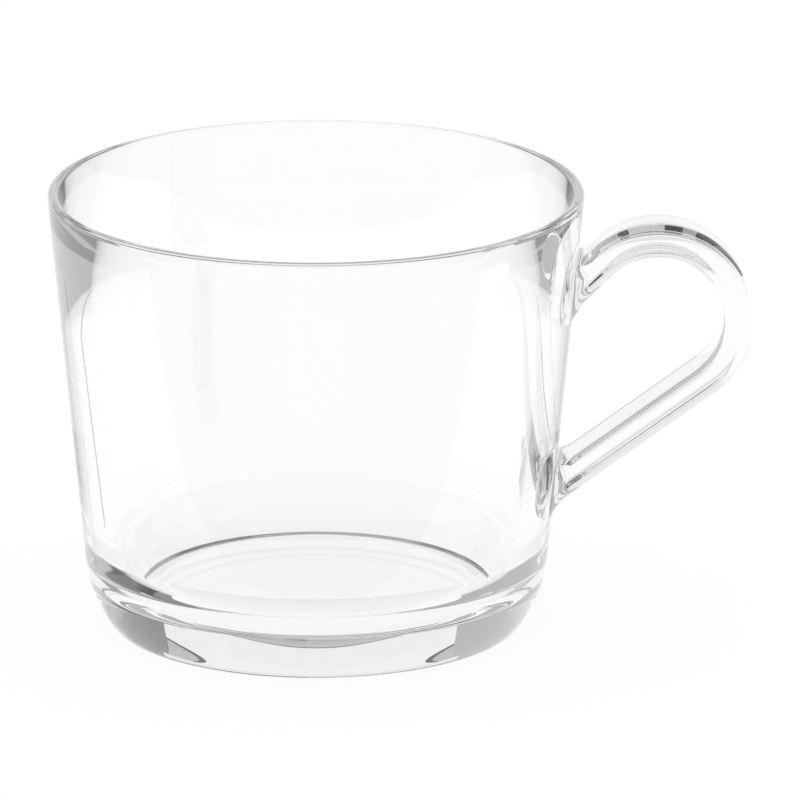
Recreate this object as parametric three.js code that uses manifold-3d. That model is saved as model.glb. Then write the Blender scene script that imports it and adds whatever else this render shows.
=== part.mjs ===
// Clear glass mug: a tapered bowl with a thick rounded base, and a bent strap handle fused to its side.
// Millimetres, +Z up. The origin is the middle of the base, on the surface that the mug stands on,
// and the handle reaches out along +X.

import * as THREE from 'three';
import { mergeVertices } from 'three/addons/utils/BufferGeometryUtils.js';
import Module from 'manifold-3d';

// Bowl, outside
const MUG_HEIGHT = 70;
const RIM_RADIUS = 42; // widest part of the rim
const WALL_FLARE = 5.7; // how much wider the rim is than the foot of the wall
const HEEL_HEIGHT = 10; // the wall starts here, above the rounded heel
const FOOT_INSET = 4.8; // from the wall's foot in to the edge of the flat underside
const HEEL_PULL = 4.3; // how far the heel's curve runs on along the wall
const FOOT_PULL = 1.4; // how far the heel's curve runs on along the underside

// Bowl, inside
const LIP_RADIUS = 0.85; // the rim is rounded over, so it is twice this thick
const FOOT_WALL = 4.8; // thickness of the glass at the foot of the wall
const TOP_WALL = 3.9; // thickness of the glass at the shoulder, where it starts to thin out
const LIP_TAPER = 10; // from the top of the rim down to the shoulder
const TAPER_PULL = 3; // how far the thinning curve runs on at both of its ends
const FLOOR_HEIGHT = 6.3; // thickness of the base
const CORNER_RADIUS = 5.2; // hollow corner between the floor and the wall

// Handle, measured on the centre line of the strap
const UPPER_FOOT_DROP = 15.2; // from the top of the rim down to the middle of the upper foot
const UPPER_ARM_LENGTH = 5.6; // straight, from the wall to the bend
const UPPER_ARM_ANGLE = THREE.MathUtils.degToRad(46); // both arms rise from the wall
const LOWER_ARM_ANGLE = THREE.MathUtils.degToRad(36.5);
const BEND_RADIUS = 12.6;
const STRAP_THICKNESS = 5.3;
const STRAP_WIDTH = 11;
const STRAP_ROUNDING = 1.8;
const WELD_FILLET = 2.5; // hollow round where an arm spreads onto the wall
const WELD_GAP = 0.3; // seam left between the handle's feet and the wall

// Smoothness
const BOWL_SEGMENTS = 72;
const CURVE_DIVISIONS = 8;
const BEND_STEPS = 36;
const FILLET_STEPS = 8;
const ROUNDING_STEPS = 6;
const WALL_PASSES = 4; // a straight run settles on the round wall in this many steps

const heelRadius = RIM_RADIUS - WALL_FLARE;
const footRadius = heelRadius - FOOT_INSET;
const heel = new THREE.Vector2(heelRadius, HEEL_HEIGHT);
const lipCentre = new THREE.Vector2(RIM_RADIUS - LIP_RADIUS, MUG_HEIGHT - LIP_RADIUS);

const wasm = await Module();
wasm.setup();

// A closed geometry as a solid: shared corners are merged, and the empty triangles at the poles are dropped.
function toSolid(geometry) {
  const bare = geometry.clone();
  bare.deleteAttribute('normal');
  bare.deleteAttribute('uv');
  const merged = mergeVertices(bare, 1e-4);
  const corners = merged.index.array;
  const triangles = [];
  for (let i = 0; i < corners.length; i += 3) {
    const [a, b, c] = corners.slice(i, i + 3);
    if (a !== b && b !== c && c !== a) {
      triangles.push(a, b, c);
    }
  }
  const vertProperties = Float32Array.from(merged.attributes.position.array);
  const triVerts = Uint32Array.from(triangles);
  return new wasm.Manifold(new wasm.Mesh({ numProp: 3, vertProperties, triVerts }));
}

function toGeometry(solid) {
  const mesh = solid.getMesh();
  const geometry = new THREE.BufferGeometry();
  geometry.setAttribute('position', new THREE.BufferAttribute(mesh.vertProperties, 3));
  geometry.setIndex(new THREE.BufferAttribute(mesh.triVerts, 1));
  geometry.computeVertexNormals();
  return geometry;
}

// A profile of (radius, height) points turned about the Z axis.
function turned(points) {
  return new THREE.LatheGeometry(points, BOWL_SEGMENTS).rotateX(Math.PI / 2);
}

// The angle on the lip's circle where a straight wall from a lower point runs into it.
// The side is 1 for the outer wall and -1 for the inner wall.
function lipAngle(from, side) {
  const towards = from.clone().sub(lipCentre);
  return towards.angle() - 2 * Math.PI + side * Math.acos(LIP_RADIUS / towards.length());
}

function onLip(angle) {
  return new THREE.Vector2(Math.cos(angle), Math.sin(angle)).multiplyScalar(LIP_RADIUS).add(lipCentre);
}

// Outer wall: a straight line from the heel to the lip.
const outerLipAngle = lipAngle(heel, 1);
const outerWallTop = onLip(outerLipAngle);
const wallDirection = outerWallTop.clone().sub(heel).normalize();
const wallNormal = new THREE.Vector2(wallDirection.y, -wallDirection.x);

// Inner wall: a straight line that leaves the glass its thickness at the heel and at the shoulder.
const shoulderRise = (MUG_HEIGHT - LIP_TAPER - HEEL_HEIGHT) / wallDirection.y;
const outerShoulder = heel.clone().addScaledVector(wallDirection, shoulderRise);
const shoulder = outerShoulder.addScaledVector(wallNormal, -TOP_WALL);
const innerHeel = heel.clone().addScaledVector(wallNormal, -FOOT_WALL);
const innerDirection = shoulder.clone().sub(innerHeel).normalize();
const innerNormal = new THREE.Vector2(innerDirection.y, -innerDirection.x);

// Above the shoulder the glass thins out along a curve that runs into the inner side of the lip.
const innerLipAngle = lipAngle(shoulder, -1) + 2 * Math.PI;
const innerWallTop = onLip(innerLipAngle);
const taperDirection = innerWallTop.clone().sub(shoulder).normalize();

// Middle of the hollow corner, which touches both the floor and the inner wall.
function cornerCentre() {
  const height = FLOOR_HEIGHT + CORNER_RADIUS;
  const along = (height - innerHeel.y + CORNER_RADIUS * innerNormal.y) / innerDirection.y;
  const onWall = innerHeel.clone().addScaledVector(innerDirection, along);
  return onWall.addScaledVector(innerNormal, -CORNER_RADIUS);
}

// Bowl: the profile runs out along the underside, up the heel and the outer wall, over the lip,
// down the inner wall, round the hollow corner and back along the floor.
function bowlGeometry() {
  const heelPull = heel.clone().addScaledVector(wallDirection, -HEEL_PULL);
  const lipPull = innerWallTop.clone().addScaledVector(taperDirection, -TAPER_PULL);
  const shoulderPull = shoulder.clone().addScaledVector(innerDirection, TAPER_PULL);
  const corner = cornerCentre();
  const profile = new THREE.Path();
  profile.moveTo(0, 0);
  profile.lineTo(footRadius, 0);
  profile.bezierCurveTo(footRadius + FOOT_PULL, 0, heelPull.x, heelPull.y, heel.x, heel.y);
  profile.absarc(lipCentre.x, lipCentre.y, LIP_RADIUS, outerLipAngle, innerLipAngle, false);
  profile.bezierCurveTo(lipPull.x, lipPull.y, shoulderPull.x, shoulderPull.y, shoulder.x, shoulder.y);
  profile.absarc(corner.x, corner.y, CORNER_RADIUS, innerNormal.angle(), -Math.PI / 2, true);
  profile.lineTo(0, FLOOR_HEIGHT);
  return toGeometry(toSolid(turned(profile.getPoints(CURVE_DIVISIONS))));
}

// How far a point lies outside the wall, whose cone goes on above and below the bowl.
function wallDistance(point) {
  const inSection = new THREE.Vector2(Math.hypot(point.x, point.y), point.z);
  return inSection.sub(heel).dot(wallNormal);
}

// The point of a straight run at a given distance outside the wall.
function towardsWall(start, along, distance) {
  const point = start.clone();
  const slope = along.x * wallNormal.x + along.z * wallNormal.y;
  for (let pass = 0; pass < WALL_PASSES; pass += 1) {
    point.addScaledVector(along, (distance - wallDistance(point)) / slope);
  }
  return point;
}

// The strap's section as spokes: four corner centres, each with a fan of directions.
// The first coordinate is through the thickness, the second across the width.
function sectionSpokes() {
  const halfThickness = STRAP_THICKNESS / 2 - STRAP_ROUNDING;
  const halfWidth = STRAP_WIDTH / 2 - STRAP_ROUNDING;
  const spokes = [];
  for (const [u, v, start] of [[1, 1, 0], [-1, 1, 1], [-1, -1, 2], [1, -1, 3]]) {
    for (let step = 0; step <= ROUNDING_STEPS; step += 1) {
      const angle = (start + step / ROUNDING_STEPS) * (Math.PI / 2);
      const direction = new THREE.Vector2(Math.cos(angle), Math.sin(angle));
      const edge = new THREE.Vector2(u * halfThickness, v * halfWidth);
      spokes.push({ edge: edge.addScaledVector(direction, STRAP_ROUNDING), direction });
    }
  }
  return spokes;
}

// The section set square to the strap, at a point of the centre line.
// The outward direction is away from the middle of the loop.
function plainRing(spokes, point, outward) {
  return spokes.map(({ edge }) => point.clone().addScaledVector(outward, edge.x).setY(edge.y));
}

// Rings from the end of an arm to just inside the wall. Each edge of the strap runs on straight,
// while a quarter round spreads it along the wall.
function footRings(spokes, point, outward, along) {
  const up = new THREE.Vector3(wallDirection.x, 0, wallDirection.y);
  const spread = up.multiplyScalar(Math.sign(outward.dot(up)));
  const rings = [];
  for (let step = 0; step <= FILLET_STEPS; step += 1) {
    const angle = (step / FILLET_STEPS) * (Math.PI / 2);
    const swell = WELD_FILLET * (1 - Math.cos(angle));
    rings.push(spokes.map(({ edge, direction }) => {
      const start = point.clone().addScaledVector(outward, edge.x).setY(edge.y);
      const height = Math.min(WELD_FILLET, wallDistance(start));
      start.y += direction.y * swell;
      const onEdge = towardsWall(start, along, height * (1 - Math.sin(angle)));
      return onEdge.addScaledVector(spread, direction.x * swell);
    }));
  }
  const inside = new THREE.Vector3(-WELD_FILLET, 0, 0);
  rings.push(rings.at(-1).map((corner) => corner.clone().add(inside)));
  return rings;
}

// The strap as rings: the upper foot, the bend and the lower foot.
function strapRings() {
  const spokes = sectionSpokes();
  const fromWall = new THREE.Vector3(Math.cos(UPPER_ARM_ANGLE), 0, Math.sin(UPPER_ARM_ANGLE));
  const toWall = new THREE.Vector3(-Math.cos(LOWER_ARM_ANGLE), 0, -Math.sin(LOWER_ARM_ANGLE));
  const level = new THREE.Vector3(RIM_RADIUS, 0, MUG_HEIGHT - UPPER_FOOT_DROP);
  const upperFoot = towardsWall(level, new THREE.Vector3(1, 0, 0), 0);
  const bendStart = upperFoot.addScaledVector(fromWall, UPPER_ARM_LENGTH);
  const startAngle = Math.PI / 2 + UPPER_ARM_ANGLE;
  const endAngle = LOWER_ARM_ANGLE - Math.PI / 2;
  const outwardAt = (angle) => new THREE.Vector3(Math.cos(angle), 0, Math.sin(angle));
  const middle = bendStart.clone().addScaledVector(outwardAt(startAngle), -BEND_RADIUS);
  const bendRings = [];
  for (let step = 0; step <= BEND_STEPS; step += 1) {
    const outward = outwardAt(THREE.MathUtils.lerp(startAngle, endAngle, step / BEND_STEPS));
    bendRings.push(plainRing(spokes, middle.clone().addScaledVector(outward, BEND_RADIUS), outward));
  }
  const bendEnd = middle.clone().addScaledVector(outwardAt(endAngle), BEND_RADIUS);
  const upperRings = footRings(spokes, bendStart, outwardAt(startAngle), fromWall.clone().negate());
  const lowerRings = footRings(spokes, bendEnd, outwardAt(endAngle), toWall);
  return [...upperRings.reverse(), ...bendRings, ...lowerRings];
}

// A closed skin over rings of equal count, with a fan over each end.
function loft(rings) {
  const count = rings[0].length;
  const positions = rings.flat().flatMap((point) => point.toArray());
  const faces = [];
  for (let ring = 0; ring + 1 < rings.length; ring += 1) {
    for (let i = 0; i < count; i += 1) {
      const a = ring * count + i;
      const b = ring * count + ((i + 1) % count);
      faces.push(a, a + count, b, b, a + count, b + count);
    }
  }
  const last = (rings.length - 1) * count;
  for (let i = 1; i + 1 < count; i += 1) {
    faces.push(0, i, i + 1, last, last + i + 1, last + i);
  }
  const geometry = new THREE.BufferGeometry();
  geometry.setAttribute('position', new THREE.Float32BufferAttribute(positions, 3));
  geometry.setIndex(faces);
  return geometry;
}

// Handle: the strap's rings skinned over, with both feet cut to the wall's own cone and a thin seam left open.
function handleGeometry() {
  const seam = WELD_GAP / wallNormal.x;
  const filledBowl = turned([
    new THREE.Vector2(0, 0),
    new THREE.Vector2(heel.x + seam - heel.y * (wallDirection.x / wallDirection.y), 0),
    new THREE.Vector2(outerWallTop.x + seam, outerWallTop.y),
    new THREE.Vector2(0, outerWallTop.y),
  ]);
  return toGeometry(toSolid(loft(strapRings())).subtract(toSolid(filledBowl)));
}

function glass() {
  return new THREE.MeshStandardMaterial({ color: 0xf4f7f6, roughness: 0.02, metalness: 0 });
}

function piece(name, geometry) {
  const mesh = new THREE.Mesh(geometry, glass());
  mesh.name = name;
  return mesh;
}

const mug = new THREE.Group();
mug.add(piece('bowl', bowlGeometry()));
mug.add(piece('handle', handleGeometry()));

export default mug;
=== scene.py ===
"""Clear glass mug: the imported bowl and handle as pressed, fire-polished glass in a white studio.

Everything is in metres, in the part's own frame: +Z up, the origin in the middle of the underside
and the handle along +X.
"""

import logging
import math
from dataclasses import dataclass, field
from enum import Enum
from typing import Any, ClassVar, Union

import bmesh
import bpy
from mathutils import Matrix, Vector
from mathutils.geometry import interpolate_bezier


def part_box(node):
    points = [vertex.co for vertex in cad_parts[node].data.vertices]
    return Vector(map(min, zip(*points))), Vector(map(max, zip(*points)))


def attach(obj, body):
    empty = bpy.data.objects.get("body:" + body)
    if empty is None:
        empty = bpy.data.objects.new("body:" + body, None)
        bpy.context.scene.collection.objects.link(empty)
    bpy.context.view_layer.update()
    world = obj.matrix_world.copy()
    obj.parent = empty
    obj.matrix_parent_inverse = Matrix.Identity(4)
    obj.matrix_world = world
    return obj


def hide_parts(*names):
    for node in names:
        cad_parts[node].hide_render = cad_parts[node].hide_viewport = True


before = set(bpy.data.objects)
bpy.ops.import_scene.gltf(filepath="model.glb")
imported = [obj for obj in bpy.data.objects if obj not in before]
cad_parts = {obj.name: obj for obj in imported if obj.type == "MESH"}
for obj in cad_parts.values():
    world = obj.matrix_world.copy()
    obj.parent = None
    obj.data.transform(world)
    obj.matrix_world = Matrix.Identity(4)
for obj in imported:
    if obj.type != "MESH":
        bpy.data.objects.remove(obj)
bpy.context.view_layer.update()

log = logging.getLogger("glass_mug")

MM = 0.001
SAME_POINT = 0.001 * MM
NEARLY_NOUGHT = 1e-9
FLAT_FACE_WEIGHT = 100
BODY = "root"


class Operation(Enum):
    """The sums that a Math node does here."""

    ADD = "ADD"
    SUBTRACT = "SUBTRACT"
    MULTIPLY = "MULTIPLY"
    DIVIDE = "DIVIDE"
    MAXIMUM = "MAXIMUM"
    MINIMUM = "MINIMUM"
    ABSOLUTE = "ABSOLUTE"
    SQUARE_ROOT = "SQRT"
    LESS = "LESS_THAN"
    GREATER = "GREATER_THAN"


class Axis(Enum):
    """A direction along which the painted glow's grey changes."""

    X = "x"
    Z = "z"


class NodeBoard:
    """The node tree of one material or world, with its output node."""

    def __init__(self, tree: bpy.types.NodeTree, output: str) -> None:
        """Empties the tree and gives it its output.

        Args:
            tree: the node tree to fill.
            output: the type of the output node.
        """
        self.tree = tree
        tree.nodes.clear()
        self.output = self.add(output)

    def add(
        self, kind: str, settings: dict[str, Any] | None = None, **inputs: Any
    ) -> bpy.types.Node:
        """Adds a node, sets it and fills its sockets.

        Args:
            kind: the node's type.
            settings: the node's own properties, which are set first.
            inputs: socket names, with underscores for spaces, and their values or links.

        Returns:
            The new node.
        """
        node = self.tree.nodes.new(kind)
        for name, value in (settings or {}).items():
            setattr(node, name, value)
        for name, value in inputs.items():
            self.fill(node.inputs[name.replace("_", " ")], value)
        return node

    def fill(self, socket: bpy.types.NodeSocket, value: Any) -> None:
        """Links or sets one socket.

        Args:
            socket: the socket to fill.
            value: a number, a colour, a socket or a wrapped value.
        """
        if isinstance(value, Value):
            value = value.socket
        if isinstance(value, bpy.types.NodeSocket):
            self.tree.links.new(value, socket)
        else:
            socket.default_value = value

    def place(self) -> "Place":
        """The shaded point in the piece's own coordinates."""
        coordinates = self.add("ShaderNodeTexCoord").outputs["Object"]
        parts = self.add("ShaderNodeSeparateXYZ", Vector=coordinates).outputs
        return Place(coordinates, *(Value(self, part) for part in parts))


Number = Union[float, "Value"]


class Value:
    """A number that varies over a surface: a socket on which plain sums can be written."""

    def __init__(self, board: NodeBoard, socket: bpy.types.NodeSocket) -> None:
        """Wraps a socket of a board."""
        self.board = board
        self.socket = socket

    def sum(self, operation: Operation, *terms: Number) -> "Value":
        """Adds a Math node.

        Args:
            operation: what the node does.
            terms: its one or two terms, in order.

        Returns:
            The result.
        """
        node = self.board.add("ShaderNodeMath", {"operation": operation.value})
        for socket, term in zip(node.inputs, terms):
            self.board.fill(socket, term)
        return Value(self.board, node.outputs[0])

    def __add__(self, other: Number) -> "Value":
        """This plus another."""
        return self.sum(Operation.ADD, self, other)

    __radd__ = __add__

    def __sub__(self, other: Number) -> "Value":
        """This less another."""
        return self.sum(Operation.SUBTRACT, self, other)

    def __rsub__(self, other: Number) -> "Value":
        """Another less this."""
        return self.sum(Operation.SUBTRACT, other, self)

    def __mul__(self, other: Number) -> "Value":
        """This times another."""
        return self.sum(Operation.MULTIPLY, self, other)

    def __truediv__(self, other: Number) -> "Value":
        """This over another."""
        return self.sum(Operation.DIVIDE, self, other)

    def __lt__(self, other: Number) -> "Value":
        """One where this is less than another, and nought elsewhere."""
        return self.sum(Operation.LESS, self, other)

    def __gt__(self, other: Number) -> "Value":
        """One where this is more than another, and nought elsewhere."""
        return self.sum(Operation.GREATER, self, other)

    def __abs__(self) -> "Value":
        """This without its sign."""
        return self.sum(Operation.ABSOLUTE, self)

    def at_most(self, other: Number) -> "Value":
        """The smaller of this and another."""
        return self.sum(Operation.MINIMUM, self, other)

    def at_least(self, other: Number) -> "Value":
        """The larger of this and another."""
        return self.sum(Operation.MAXIMUM, self, other)

    def root(self) -> "Value":
        """The square root of this."""
        return self.sum(Operation.SQUARE_ROOT, self)


@dataclass(frozen=True)
class Place:
    """A shaded point: its coordinates as one vector and one by one."""

    vector: bpy.types.NodeSocket
    x: Value
    y: Value
    z: Value


class Outline:
    """A section drawn as a chain of edges in the XZ plane, from its first point to its tip."""

    STRAIGHT_AXIS = (0, -1, 0)

    def __init__(self, mesh: bmesh.types.BMesh, start: Vector) -> None:
        """Starts the chain at a point of a mesh, given as X and Z."""
        self.mesh = mesh
        self.tip = mesh.verts.new((start.x, 0, start.y))

    def line_to(self, point: Vector) -> None:
        """Draws a straight run to a point, given as X and Z."""
        made = bmesh.ops.extrude_vert_indiv(self.mesh, verts=[self.tip])
        self.tip = made["verts"][0]
        self.tip.co = (point.x, 0, point.y)

    def arc(self, middle: Vector, angle: float, steps: int) -> None:
        """Draws an arc from the tip.

        Args:
            middle: the arc's middle, as X and Z.
            angle: how far it turns, anticlockwise.
            steps: the number of edges along it.
        """
        made = bmesh.ops.spin(
            self.mesh,
            geom=[self.tip],
            cent=(middle.x, 0, middle.y),
            axis=self.STRAIGHT_AXIS,
            angle=angle,
            steps=steps,
        )
        self.tip = next(part for part in made["geom_last"] if isinstance(part, bmesh.types.BMVert))

    def curve_to(self, pull_out: Vector, pull_in: Vector, end: Vector, steps: int) -> None:
        """Draws a smooth curve from the tip.

        Args:
            pull_out: the point that the curve sets out for.
            pull_in: the point that it arrives from.
            end: where it ends.
            steps: the number of edges along it.
        """
        start = Vector((self.tip.co.x, self.tip.co.z))
        for point in interpolate_bezier(start, pull_out, pull_in, end, steps + 1)[1:]:
            self.line_to(point)


def new_material(name: str) -> tuple[bpy.types.Material, NodeBoard]:
    """Makes a material with no shader as yet.

    Args:
        name: the material's name.

    Returns:
        The material and its board.
    """
    material = bpy.data.materials.new(name)
    material.use_nodes = True
    return material, NodeBoard(material.node_tree, "ShaderNodeOutputMaterial")


def finished_piece(
    name: str, mesh: bmesh.types.BMesh, material: bpy.types.Material
) -> bpy.types.Object:
    """Turns a closed mesh into a smooth piece, which main then sets on the mug's body.

    Args:
        name: the piece's name.
        mesh: the mesh, which is used up.
        material: what it is made of.

    Returns:
        The new object, at the origin.
    """
    bmesh.ops.recalc_face_normals(mesh, faces=mesh.faces)
    for face in mesh.faces:
        face.smooth = True
    data = bpy.data.meshes.new(name)
    mesh.to_mesh(data)
    mesh.free()
    data.materials.append(material)
    piece = bpy.data.objects.new(name, data)
    bpy.context.scene.collection.objects.link(piece)
    shading = piece.modifiers.new("flat_faces_stay_flat", "WEIGHTED_NORMAL")
    shading.weight = FLAT_FACE_WEIGHT
    shading.keep_sharp = False
    return piece


@dataclass(frozen=True)
class ClearGlass:
    """Pressed and fire-polished glass, clear and colourless, with a trace of waviness.

    A ray that is still caught in the glass after many bounces gets a painted glow: an emitted grey
    in place of the light that it would lose. Its tones are those greys, each from a place along an
    axis, so the glass glows lighter or darker by place.
    """

    colour: tuple[float, float, float, float] = (1.0, 1.0, 1.0, 1.0)
    refraction: float = 1.5
    lost_after: float = 11.5
    # painted light: the bowl's glow is dark grey at the base, mid grey from 14 mm and light above
    # 55 mm
    painted_glow_tones: tuple[tuple[float, float], ...] = ((0.0, 0.25), (14 * MM, 0.45), (55 * MM, 0.86))
    painted_glow_along: Axis = Axis.Z
    ripple_scale: float = 90.0
    ripple_detail: float = 1.0
    ripple_depth: float = 0.004 * MM

    def material(self, name: str) -> tuple[bpy.types.Material, NodeBoard, bpy.types.Node]:
        """Makes the glass.

        Args:
            name: the material's name.

        Returns:
            The material, its board and its shader.
        """
        material, board = new_material(name)
        shader = board.add(
            "ShaderNodeBsdfPrincipled",
            Base_Color=self.colour,
            Roughness=0.0,
            IOR=self.refraction,
            Transmission_Weight=1.0,
        )
        place = board.place()
        ripple = board.add(
            "ShaderNodeTexNoise",
            Vector=place.vector,
            Scale=self.ripple_scale,
            Detail=self.ripple_detail,
        )
        wavy = board.add(
            "ShaderNodeBump", Height=ripple.outputs["Fac"], Distance=self.ripple_depth, Strength=1.0
        )
        board.fill(shader.inputs["Normal"], wavy.outputs[0])
        depth = Value(board, board.add("ShaderNodeLightPath").outputs["Ray Depth"])
        tone, below = 0.0, 0.0
        along = getattr(place, self.painted_glow_along.value)
        for level, value in self.painted_glow_tones:
            tone = tone + (along > level) * (value - below)
            below = value
        # painted light: a glowing grey, set by place, stands in for the light of rays caught in the
        # glass
        grey = board.add("ShaderNodeCombineColor", Red=tone, Green=tone, Blue=tone)
        lost = board.add("ShaderNodeEmission", Color=grey.outputs[0], Strength=1.0)
        mixed = board.add("ShaderNodeMixShader", Fac=depth > self.lost_after)
        board.fill(mixed.inputs[1], shader.outputs[0])
        board.fill(mixed.inputs[2], lost.outputs[0])
        board.fill(board.output.inputs["Surface"], mixed.outputs[0])
        return material, board, shader


@dataclass
class Foot:
    """Where an arm of the handle is fused to the wall: its outline there, seen from the side.

    The upper and lower sag say how far its edges there fall off from the middle to the corners, as
    shares of the round height.
    """

    level: float
    flat_height: float
    flat_width: float
    round_height: float
    round_width: float
    upper_sag: float
    lower_sag: float

    def covers(self, place: Place) -> Value:
        """One on the part of the wall that the foot is fused to, and nought elsewhere."""
        across = (abs(place.y) - self.flat_width).at_least(0.0) / self.round_width
        aside = (abs(place.y) / self.flat_width).at_most(1.0)
        sag = self.lower_sag + (place.z > self.level) * (self.upper_sag - self.lower_sag)
        rise = (abs(place.z - self.level) - self.flat_height) / self.round_height
        along = (rise + aside * aside * sag).at_least(0.0)
        return (across * across + along * along < 1.0) * (place.x > 0.0)


@dataclass
class Bowl:
    """The tapered bowl with its rounded lip, thick base and rounded heel."""

    height: float
    rim_radius: float
    wall_flare: float = 5.7 * MM
    heel_height: float = 10 * MM
    foot_inset: float = 4.8 * MM
    heel_pull: float = 4.3 * MM
    foot_pull: float = 1.4 * MM
    lip_radius: float = 0.85 * MM
    foot_wall: float = 4.8 * MM
    top_wall: float = 3.9 * MM
    lip_taper: float = 20 * MM
    lip_pull: float = 3 * MM
    shoulder_pull: float = 10 * MM
    floor_height: float = 6.3 * MM
    corner_radius: float = 8.8 * MM
    fused_depth: float = 0.3 * MM
    turn_steps: int = 512
    round_steps: int = 24
    glass: ClearGlass = ClearGlass()

    def __post_init__(self) -> None:
        """Works out the straight walls between the heel, the shoulder and the lip."""
        self.heel = Vector((self.rim_radius - self.wall_flare, self.heel_height))
        self.lip = Vector((self.rim_radius - self.lip_radius, self.height - self.lip_radius))
        self.outer_lip_angle = self.lip_angle(self.heel, 1)
        self.wall_direction = (self.on_lip(self.outer_lip_angle) - self.heel).normalized()
        self.wall_normal = Vector((self.wall_direction.y, -self.wall_direction.x))
        rise = (self.height - self.lip_taper - self.heel_height) / self.wall_direction.y
        self.shoulder = self.heel + rise * self.wall_direction - self.top_wall * self.wall_normal
        inner_heel = self.heel - self.foot_wall * self.wall_normal
        self.inner_direction = (self.shoulder - inner_heel).normalized()
        self.inner_normal = Vector((self.inner_direction.y, -self.inner_direction.x))
        self.bend = self.shoulder + self.shoulder_pull * self.inner_direction
        self.inner_lip_angle = self.lip_angle(self.bend, -1) + 2 * math.pi
        level = self.floor_height + self.corner_radius
        inset = self.corner_radius * self.inner_normal
        along = (level - inner_heel.y + inset.y) / self.inner_direction.y
        self.corner = inner_heel + along * self.inner_direction - inset

    def lip_angle(self, start: Vector, side: int) -> float:
        """The angle on the lip's circle where a straight wall runs into it.

        Args:
            start: the wall's lower end.
            side: 1 for the outer wall and -1 for the inner wall.

        Returns:
            The angle, in radians.
        """
        towards = start - self.lip
        return math.atan2(towards.y, towards.x) + side * math.acos(self.lip_radius / towards.length)

    def on_lip(self, angle: float) -> Vector:
        """The point of the lip's circle at an angle."""
        return self.lip + self.lip_radius * Vector((math.cos(angle), math.sin(angle)))

    def wall_radius(self, level: float) -> float:
        """The outer wall's radius at a height."""
        return self.heel.x + (level - self.heel.y) * self.wall_direction.x / self.wall_direction.y

    def outside(self, place: Place, depth: float) -> Value:
        """Where a shaded point lies outside the outer wall.

        Args:
            place: the point.
            depth: how far inside the wall still counts.

        Returns:
            One there, and nought elsewhere.
        """
        radius = (place.x * place.x + place.y * place.y).root()
        lean = self.wall_direction.x / self.wall_direction.y
        return radius - place.z * lean > self.wall_radius(0.0) - depth

    def outline(self) -> Outline:
        """The section: along the underside, up the wall, over the lip and back down the inside."""
        outline = Outline(bmesh.new(), Vector((0, 0)))
        foot = Vector((self.heel.x - self.foot_inset, 0))
        outline.line_to(foot)
        outline.curve_to(
            foot + Vector((self.foot_pull, 0)),
            self.heel - self.heel_pull * self.wall_direction,
            self.heel,
            self.round_steps,
        )
        outline.line_to(self.on_lip(self.outer_lip_angle))
        outline.arc(self.lip, self.inner_lip_angle - self.outer_lip_angle, self.round_steps)
        inner_lip = self.on_lip(self.inner_lip_angle)
        outline.curve_to(
            inner_lip + self.lip_pull * (self.bend - inner_lip).normalized(),
            self.bend,
            self.shoulder,
            2 * self.round_steps,
        )
        outline.line_to(self.corner + self.corner_radius * self.inner_normal)
        corner_turn = math.pi / 2 + math.atan2(self.inner_normal.y, self.inner_normal.x)
        outline.arc(self.corner, -corner_turn, self.round_steps)
        outline.line_to(Vector((0, self.floor_height)))
        return outline

    def build(self, feet: list[Foot]) -> bpy.types.Object:
        """Turns the section about the axis and makes it glass.

        Args:
            feet: the feet of the handle, which are one with the wall.

        Returns:
            The bowl.
        """
        mesh = self.outline().mesh
        bmesh.ops.spin(
            mesh,
            geom=mesh.verts[:] + mesh.edges[:],
            axis=(0, 0, 1),
            angle=2 * math.pi,
            steps=self.turn_steps,
            use_merge=True,
        )
        bmesh.ops.remove_doubles(mesh, verts=mesh.verts, dist=SAME_POINT)
        material, board, shader = self.glass.material("bowl_glass")
        place = board.place()
        covered = sum((foot.covers(place) for foot in feet), 0.0)
        fused = covered * self.outside(place, self.fused_depth)
        board.fill(shader.inputs["Alpha"], 1.0 - fused)
        return finished_piece("glass_bowl", mesh, material)


@dataclass(frozen=True)
class CrownedFace:
    """A slightly bulging face of the strap, as an arc between two rounded edges.

    Args:
        reach: from the middle of the face to the middle of an edge's round.
        crown: how far the face bulges between the edges.
        rounding: the radius of the edges.
    """

    reach: float
    crown: float
    rounding: float

    @property
    def radius(self) -> float:
        """The radius of the face's own arc."""
        return (self.reach**2 + self.crown**2) / (2 * self.crown) + self.rounding

    @property
    def lean(self) -> float:
        """How far the face leans at its ends, as an angle."""
        return math.asin(self.reach / (self.radius - self.rounding))

    def middle(self, height: float) -> Vector:
        """The middle of the arc, for a face that bulges to a height along X."""
        return Vector((height - self.radius, 0))

    def end(self, height: float) -> Vector:
        """The far end of the arc, where the rounded edge takes over."""
        side = Vector((math.cos(self.lean), math.sin(self.lean)))
        return self.middle(height) + self.radius * side


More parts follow.
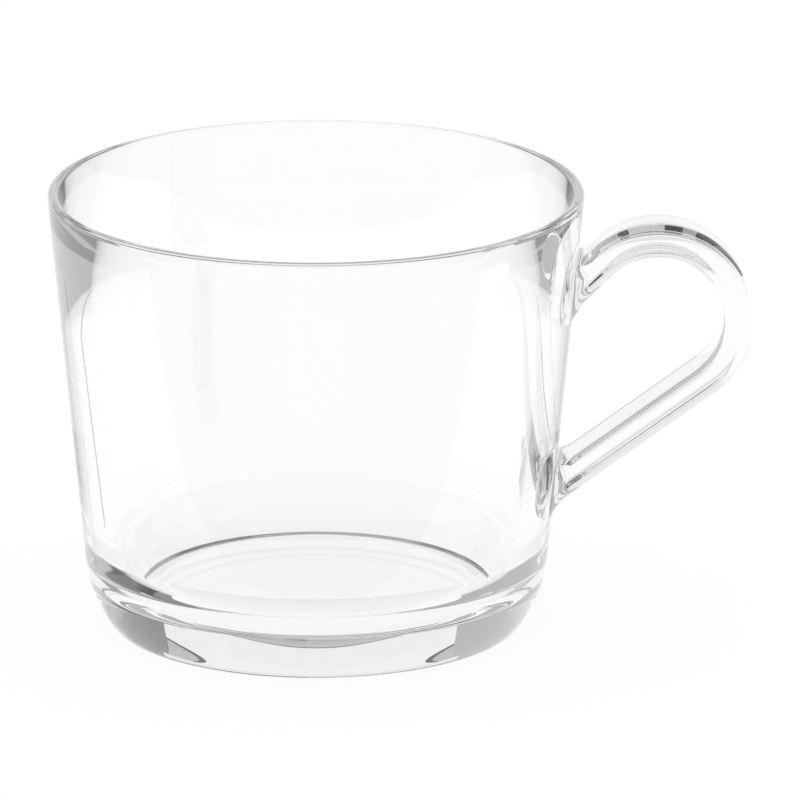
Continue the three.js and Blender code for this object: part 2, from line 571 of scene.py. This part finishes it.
@dataclass
class Handle:
    """The bent strap with its two spread feet, fused to the bowl's wall."""

    bowl: Bowl
    upper_foot_drop: float = 15.2 * MM
    upper_arm_length: float = 5.6 * MM
    upper_arm_angle: float = math.radians(46)
    lower_arm_angle: float = math.radians(36.5)
    bend_radius: float = 12.6 * MM
    strap_thickness: float = 5.28 * MM
    strap_width: float = 10.96 * MM
    strap_rounding: float = 1.65 * MM
    outer_crown: float = 0.42 * MM
    inner_crown: float = 0.22 * MM
    weld_fillet: float = 2.5 * MM
    sunk: float = 0.3 * MM
    mask_spare: float = 0.01 * MM
    bend_steps: int = 72
    fillet_steps: int = 16
    rounding_steps: int = 16
    face_steps: int = 24
    # painted light: the handle's glow is mid grey near the wall, light from 43 mm out along X and
    # dark beyond 61 mm
    glass: ClearGlass = ClearGlass(
        painted_glow_tones=((0.0, 0.3), (43 * MM, 0.75), (61 * MM, 0.2)), painted_glow_along=Axis.X
    )

    def __post_init__(self) -> None:
        """Works out the bend's middle and the two feet."""
        self.flat_thickness = self.strap_thickness / 2 - self.strap_rounding
        self.flat_width = self.strap_width / 2 - self.strap_rounding
        level = self.bowl.height - self.upper_foot_drop
        from_wall = self.direction(self.upper_arm_angle)
        on_wall = Vector((self.bowl.wall_radius(level), 0, level))
        bend_start = on_wall + self.upper_arm_length * from_wall
        self.start_angle = math.pi / 2 + self.upper_arm_angle
        self.end_angle = self.lower_arm_angle - math.pi / 2
        self.middle = bend_start - self.bend_radius * self.direction(self.start_angle)
        bend_end = self.middle + self.bend_radius * self.direction(self.end_angle)
        lower_level = self.meets_wall(bend_end, self.lower_arm_angle)
        self.upper_foot = self.foot(level, self.upper_arm_angle, outer_side_down=False)
        self.lower_foot = self.foot(lower_level, self.lower_arm_angle, outer_side_down=True)

    @staticmethod
    def direction(angle: float) -> Vector:
        """A direction in the handle's plane, by its angle above +X."""
        return Vector((math.cos(angle), 0, math.sin(angle)))

    def meets_wall(self, start: Vector, angle: float) -> float:
        """The height at which a straight run back to the wall meets it.

        Args:
            start: a point of the run.
            angle: the run's angle above +X.

        Returns:
            The height.
        """
        normal = Vector((self.bowl.wall_normal.x, 0, self.bowl.wall_normal.y))
        heel = Vector((self.bowl.heel.x, 0, self.bowl.heel.y))
        along = self.direction(angle)
        return start.z - along.z * (start - heel).dot(normal) / along.dot(normal)

    def foot(self, level: float, angle: float, outer_side_down: bool) -> Foot:
        """The outline of an arm's foot on the wall.

        Args:
            level: the height of its middle.
            angle: the arm's angle above +X.
            outer_side_down: whether the strap's outer side is the arm's lower side.

        Returns:
            The foot.
        """
        lean = math.atan2(self.bowl.wall_direction.y, self.bowl.wall_direction.x)
        stretch = self.bowl.wall_direction.y / math.sin(lean - angle)
        sags = [crown / self.strap_rounding for crown in (self.outer_crown, self.inner_crown)]
        if outer_side_down:
            sags.reverse()
        return Foot(
            upper_sag=sags[0],
            lower_sag=sags[1],
            level=level,
            flat_height=self.flat_thickness * stretch,
            flat_width=self.flat_width,
            round_height=self.strap_rounding * stretch + self.weld_fillet,
            round_width=self.strap_rounding + self.weld_fillet,
        )

    def section(self, mesh: bmesh.types.BMesh, angle: float) -> list[bmesh.types.BMEdge]:
        """Draws the strap's section across the bend.

        Args:
            mesh: the mesh to draw it in.
            angle: where on the bend it stands.

        Returns:
            The section's edges.
        """
        half = self.strap_thickness / 2
        outer = CrownedFace(self.flat_width, self.outer_crown, self.strap_rounding)
        inner = CrownedFace(self.flat_width, self.inner_crown, self.strap_rounding)
        outer_edge = Vector((self.flat_thickness - self.outer_crown, self.flat_width))
        inner_edge = Vector((self.inner_crown - self.flat_thickness, self.flat_width))
        across = Vector((0, self.strap_rounding))
        mirrored = Vector((1, -1))
        outline = Outline(mesh, outer.end(half) * mirrored)
        outline.arc(outer.middle(half), 2 * outer.lean, self.face_steps)
        outline.arc(outer_edge, math.pi / 2 - outer.lean, self.rounding_steps)
        outline.line_to(inner_edge + across)
        outline.arc(inner_edge, math.pi / 2 - inner.lean, self.rounding_steps)
        outline.arc(-inner.middle(half), 2 * inner.lean, self.face_steps)
        outline.arc(inner_edge * mirrored, math.pi / 2 - inner.lean, self.rounding_steps)
        outline.line_to((outer_edge + across) * mirrored)
        outline.arc(outer_edge * mirrored, math.pi / 2 - outer.lean, self.rounding_steps)
        bmesh.ops.remove_doubles(mesh, verts=mesh.verts, dist=SAME_POINT)
        centre = self.middle + self.bend_radius * self.direction(angle)
        lie = Matrix.Rotation(-angle, 4, "Y") @ Matrix.Rotation(-math.pi / 2, 4, "X")
        bmesh.ops.transform(mesh, matrix=Matrix.Translation(centre) @ lie, verts=mesh.verts)
        return mesh.edges[:]

    def add_foot(
        self,
        mesh: bmesh.types.BMesh,
        edges: list[bmesh.types.BMEdge],
        foot: Foot,
        angle: float,
    ) -> None:
        """Runs an end of the strap into the wall, spread by a hollow quarter round.

        Args:
            mesh: the strap's mesh.
            edges: the open end.
            foot: its outline on the wall.
            angle: the angle on the bend at which the arm sets out.
        """
        outward = self.direction(angle)
        centre = self.middle + self.bend_radius * outward
        ring = {vert for edge in edges for vert in edge.verts}
        runs = {vert: self.foot_run(vert.co, centre, outward, foot) for vert in ring}
        for step in range(1, self.fillet_steps + 2):
            made = bmesh.ops.extrude_edge_only(mesh, edges=edges)
            edges = [part for part in made["geom"] if isinstance(part, bmesh.types.BMEdge)]
            fresh = [part for part in made["geom"] if isinstance(part, bmesh.types.BMVert)]
            edges = [edge for edge in edges if all(vert in fresh for vert in edge.verts)]
            links = {}
            for vert in fresh:
                others = (edge.other_vert(vert) for edge in vert.link_edges)
                links[vert] = next(runs[other] for other in others if other in runs)
            runs = links
            for vert, (start, corner, end) in runs.items():
                if step > self.fillet_steps:
                    inwards = Vector((end.x, end.y, 0)).normalized()
                    vert.co = end - self.sunk * inwards
                    continue
                turn = math.pi / 2 * step / self.fillet_steps
                out = (start - corner) * (1 - math.sin(turn))
                vert.co = corner + out + (end - corner) * (1 - math.cos(turn))
        bmesh.ops.edgeloop_fill(mesh, edges=edges)

    def foot_run(
        self, point: Vector, centre: Vector, outward: Vector, foot: Foot
    ) -> tuple[Vector, Vector, Vector]:
        """The three points that one edge of the strap's quarter round runs between.

        Args:
            point: where the edge leaves the bend.
            centre: the middle of the section there.
            outward: the direction away from the loop's middle there.
            foot: the foot's outline on the wall.

        Returns:
            The start of the quarter round, the corner that it rounds, and its end on the wall.
        """
        through = (point - centre).dot(outward)
        across = point.y
        held = max(-self.flat_thickness, min(self.flat_thickness, through))
        kept = max(-self.flat_width, min(self.flat_width, across))
        spread_up = (through - held) / self.strap_rounding
        spread_out = (across - kept) / self.strap_rounding
        side = math.copysign(1, outward.z)
        stretch = foot.flat_height / self.flat_thickness
        corner = self.on_wall(across, foot.level + side * through * stretch)
        end = self.on_wall(
            kept + spread_out * foot.round_width,
            foot.level + side * (held * stretch + spread_up * foot.round_height),
        )
        back = point - corner
        off_wall = max(back.dot(self.wall_normal(corner)), NEARLY_NOUGHT)
        reach = min(1.0, self.weld_fillet / off_wall)
        return corner + back * reach, corner, end

    def on_wall(self, across: float, level: float) -> Vector:
        """The point of the wall at a place across it and a height."""
        radius = self.bowl.wall_radius(level)
        return Vector((math.sqrt(radius * radius - across * across), across, level))

    def wall_normal(self, point: Vector) -> Vector:
        """The direction straight out of the wall at a point."""
        round_part = Vector((point.x, point.y, 0)).normalized() * self.bowl.wall_normal.x
        return round_part + Vector((0, 0, self.bowl.wall_normal.y))

    def build(self) -> bpy.types.Object:
        """Bends the strap, spreads its feet onto the wall and makes it glass.

        Returns:
            The handle.
        """
        mesh = bmesh.new()
        start_edges = self.section(mesh, self.start_angle)
        made = bmesh.ops.spin(
            mesh,
            geom=mesh.verts[:] + start_edges,
            cent=self.middle,
            axis=(0, 1, 0),
            angle=self.start_angle - self.end_angle,
            steps=self.bend_steps,
        )
        end_edges = [part for part in made["geom_last"] if isinstance(part, bmesh.types.BMEdge)]
        self.add_foot(mesh, start_edges, self.upper_foot, self.start_angle)
        self.add_foot(mesh, end_edges, self.lower_foot, self.end_angle)
        material, board, shader = self.glass.material("handle_glass")
        clear = self.bowl.outside(board.place(), self.mask_spare)
        board.fill(shader.inputs["Alpha"], clear)
        return finished_piece("glass_handle", mesh, material)


@dataclass(frozen=True)
class Band:
    """A part of the round hood over the mug: between two elevations, round from a direction.

    Angles are in degrees. The compass starts at +X and goes round by way of +Y, which is behind the
    mug. A band that isn't seen through glass shows only in reflections.
    """

    name: str
    tone: float
    low: float
    high: float
    start: float = 0.0
    turn: float = 360.0
    distance: float = 2.65
    through_glass: bool = True

    RISE_STEPS: ClassVar[int] = 16
    FEWEST_STEPS: ClassVar[int] = 8
    STEP_DEGREES: ClassVar[int] = 5

    def mesh(self) -> bmesh.types.BMesh:
        """The band as a part of a sphere."""
        mesh = bmesh.new()
        low = math.radians(self.low)
        start = math.radians(self.start)
        out = self.distance * math.cos(low)
        edge = Vector((out * math.cos(start), out * math.sin(start), self.distance * math.sin(low)))
        side = Vector((math.sin(start), -math.cos(start), 0))
        tip = mesh.verts.new(edge)
        rise = math.radians(self.high - self.low)
        bmesh.ops.spin(mesh, geom=[tip], axis=side, angle=rise, steps=self.RISE_STEPS)
        bmesh.ops.spin(
            mesh,
            geom=mesh.verts[:] + mesh.edges[:],
            axis=(0, 0, 1),
            angle=math.radians(self.turn),
            steps=max(self.FEWEST_STEPS, round(self.turn / self.STEP_DEGREES)),
        )
        return mesh


@dataclass(frozen=True)
class Card:
    """A flat card, lying level or standing upright across the view.

    A level card's low and high edges are along Y, and its place is its height. An upright card's
    low and high edges are heights, and its place is along Y. A card that isn't seen through glass
    shows only in reflections.
    """

    name: str
    tone: float
    left: float
    right: float
    low: float
    high: float
    place: float
    upright: bool = False
    through_glass: bool = True

    def mesh(self) -> bmesh.types.BMesh:
        """The card as one face."""
        mesh = bmesh.new()
        turned = Matrix.Rotation(math.pi / 2, 4, "X") if self.upright else Matrix.Identity(4)
        place = -self.place if self.upright else self.place
        middle = Vector(((self.left + self.right) / 2, (self.low + self.high) / 2, place))
        shape = Matrix.Diagonal((self.right - self.left, self.high - self.low, 1, 1))
        matrix = turned @ Matrix.Translation(middle) @ shape
        bmesh.ops.create_grid(mesh, x_segments=1, y_segments=1, size=0.5, matrix=matrix)
        return mesh


@dataclass
class Studio:
    """The plain white studio: a pale floor, a white surround, cards and a lamp, and the camera.

    The bands and cards show only in the glass. They are the dark hood, the pale wall behind the
    mug, the soft boxes over it, the darker sides of the room, and a thin grey strip behind the mug
    that is a painted shadow line.
    """

    target: Vector = field(default_factory=lambda: Vector((13.15 * MM, 0, 35.8 * MM)))
    camera_distance: float = 2.4
    camera_elevation: float = math.radians(16.5)
    lens: float = 688.0
    sensor_width: float = 36.0
    clip_end: float = 100.0
    lamp_energy: float = 4.0
    lamp_size: float = 1.2
    lamp_height: float = 1.2
    floor_tone: float = 0.9
    floor_white: float = 0.95
    floor_size: float = 6.0
    bounces: int = 24
    floor_drop: float = 0.05 * MM
    reflected: tuple[Band | Card, ...] = (
        Band("hood", 0.05, 28, 90, distance=2.7),
        Card("behind_low", 0.82, -1.44, 1.55, -0.01, 0.586, 2.3, upright=True),
        Card("behind", 0.9, -1.44, 1.55, 0.586, 0.805, 2.3, upright=True),
        Card("behind_line", 0.12, -1.44, 1.55, 0.805, 0.822, 2.3, upright=True),
        Card("behind_edge", 0.5, -1.44, 1.55, 0.822, 1.33, 2.3, upright=True),
        Band("behind_top", 0.47, 30, 48, start=88, turn=32, distance=2.6),
        Band("left", 0.45, -2, 44, start=120, turn=90),
        Band("right", 0.25, -2, 28, start=30, turn=27),
        Band("far_right", 0.15, -2, 28, start=-40, turn=70),
        Band("camera_side", 0.4, -2, 60, start=210, turn=110),
        Card("box_middle", 0.55, -0.20, 0.12, 0.16, 0.42, 0.55),
        Card("box_right", 0.38, 0.27, 0.42, -0.25, 0.40, 0.52),
        Card("near_floor", 0.45, -1.5, 1.5, -2.6, -0.06, 0.001, through_glass=False),
        # painted shadow: a thin grey strip behind the mug stands in for the mug's shadow line on
        # the floor, seen through the glass
        Card("painted_shadow_line", 0.5, -0.0608, -0.0592, 0.0, 0.045, 0.0226, upright=True),
    )

    def shown_white(self, board: NodeBoard) -> Value:
        """One for rays that show the background: from the camera, off gloss or through glass."""
        path = board.add("ShaderNodeLightPath").outputs
        rays = ("Is Camera Ray", "Is Glossy Ray", "Is Transmission Ray")
        shown = [Value(board, path[ray]) for ray in rays]
        return shown[0].at_least(shown[1]).at_least(shown[2])

    def surround(self) -> None:
        """Makes the world white."""
        world = bpy.data.worlds.new("white_surround")
        world.use_nodes = True
        board = NodeBoard(world.node_tree, "ShaderNodeOutputWorld")
        white = board.add("ShaderNodeBackground", Color=(1, 1, 1, 1), Strength=1.0)
        board.fill(board.output.inputs["Surface"], white.outputs[0])
        bpy.context.scene.world = world

    def floor(self) -> None:
        """Lays the pale floor, which shows white and keeps a trace of the mug's shadow."""
        mesh = bmesh.new()
        bmesh.ops.create_grid(
            mesh,
            x_segments=1,
            y_segments=1,
            size=self.floor_size / 2,
            matrix=Matrix.Translation((0, 0, -self.floor_drop)),
        )
        material, board = new_material("pale_floor")
        paper = board.add("ShaderNodeBsdfDiffuse", Color=(*(self.floor_tone,) * 3, 1))
        white = board.add("ShaderNodeEmission", Color=(1, 1, 1, 1), Strength=1.0)
        mixed = board.add("ShaderNodeMixShader", Fac=self.shown_white(board) * self.floor_white)
        board.fill(mixed.inputs[1], paper.outputs[0])
        board.fill(mixed.inputs[2], white.outputs[0])
        board.fill(board.output.inputs["Surface"], mixed.outputs[0])
        self.stage_object("pale_floor", mesh, material)

    def stage_object(
        self, name: str, mesh: bmesh.types.BMesh, material: bpy.types.Material
    ) -> bpy.types.Object:
        """Turns a mesh into a part of the studio.

        Args:
            name: the object's name.
            mesh: the mesh, which is used up.
            material: its finish.

        Returns:
            The new object.
        """
        data = bpy.data.meshes.new(name)
        mesh.to_mesh(data)
        mesh.free()
        data.materials.append(material)
        thing = bpy.data.objects.new(name, data)
        bpy.context.scene.collection.objects.link(thing)
        return thing

    def set_round(self, part: Band | Card) -> None:
        """Sets a part of the surroundings that shows only off gloss and through glass.

        Args:
            part: where it is and how bright it is.
        """
        material, board = new_material(part.name)
        tone = (part.tone, part.tone, part.tone, 1)
        grey = board.add("ShaderNodeEmission", Color=tone, Strength=1.0)
        board.fill(board.output.inputs["Surface"], grey.outputs[0])
        thing = self.stage_object(part.name, part.mesh(), material)
        thing.visible_camera = False
        thing.visible_diffuse = False
        thing.visible_shadow = False
        thing.visible_transmission = part.through_glass

    def lamp(self) -> None:
        """Hangs one large soft lamp over the mug."""
        data = bpy.data.lights.new("soft_lamp", "AREA")
        data.energy = self.lamp_energy
        data.size = self.lamp_size
        lamp = bpy.data.objects.new("soft_lamp", data)
        lamp.location = (0, 0, self.lamp_height)
        lamp.visible_glossy = False
        lamp.visible_transmission = False
        bpy.context.scene.collection.objects.link(lamp)

    def camera(self) -> None:
        """Sets the camera at the photograph's angle, far off with a long lens."""
        data = bpy.data.cameras.new("camera")
        data.sensor_width = self.sensor_width
        data.lens = self.lens
        data.clip_end = self.clip_end
        camera = bpy.data.objects.new("camera", data)
        back = Vector((0, -math.cos(self.camera_elevation), math.sin(self.camera_elevation)))
        camera.location = self.target + self.camera_distance * back
        camera.rotation_euler = (math.pi / 2 - self.camera_elevation, 0, 0)
        bpy.context.scene.collection.objects.link(camera)
        bpy.context.scene.camera = camera

    def build(self) -> None:
        """Sets up the whole studio."""
        scene = bpy.context.scene
        scene.view_settings.view_transform = "Standard"
        scene.cycles.max_bounces = self.bounces
        scene.cycles.transmission_bounces = self.bounces
        scene.cycles.glossy_bounces = self.bounces
        scene.cycles.transparent_max_bounces = self.bounces
        self.surround()
        self.floor()
        for part in self.reflected:
            self.set_round(part)
        self.lamp()
        self.camera()


def main() -> None:
    """Builds the studio and the mug."""
    logging.basicConfig(level=logging.INFO, format="%(message)s")
    Studio().build()
    low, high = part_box("bowl")
    bowl = Bowl(height=high.z - low.z, rim_radius=(high.x - low.x) / 2)
    handle = Handle(bowl)
    for piece, node in (
        (bowl.build([handle.upper_foot, handle.lower_foot]), "bowl"),
        (handle.build(), "handle"),
    ):
        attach(piece, BODY)
        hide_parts(node)
        log.info("%s: %d faces, stands for %s", piece.name, len(piece.data.polygons), node)


if __name__ == "__main__":
    main()
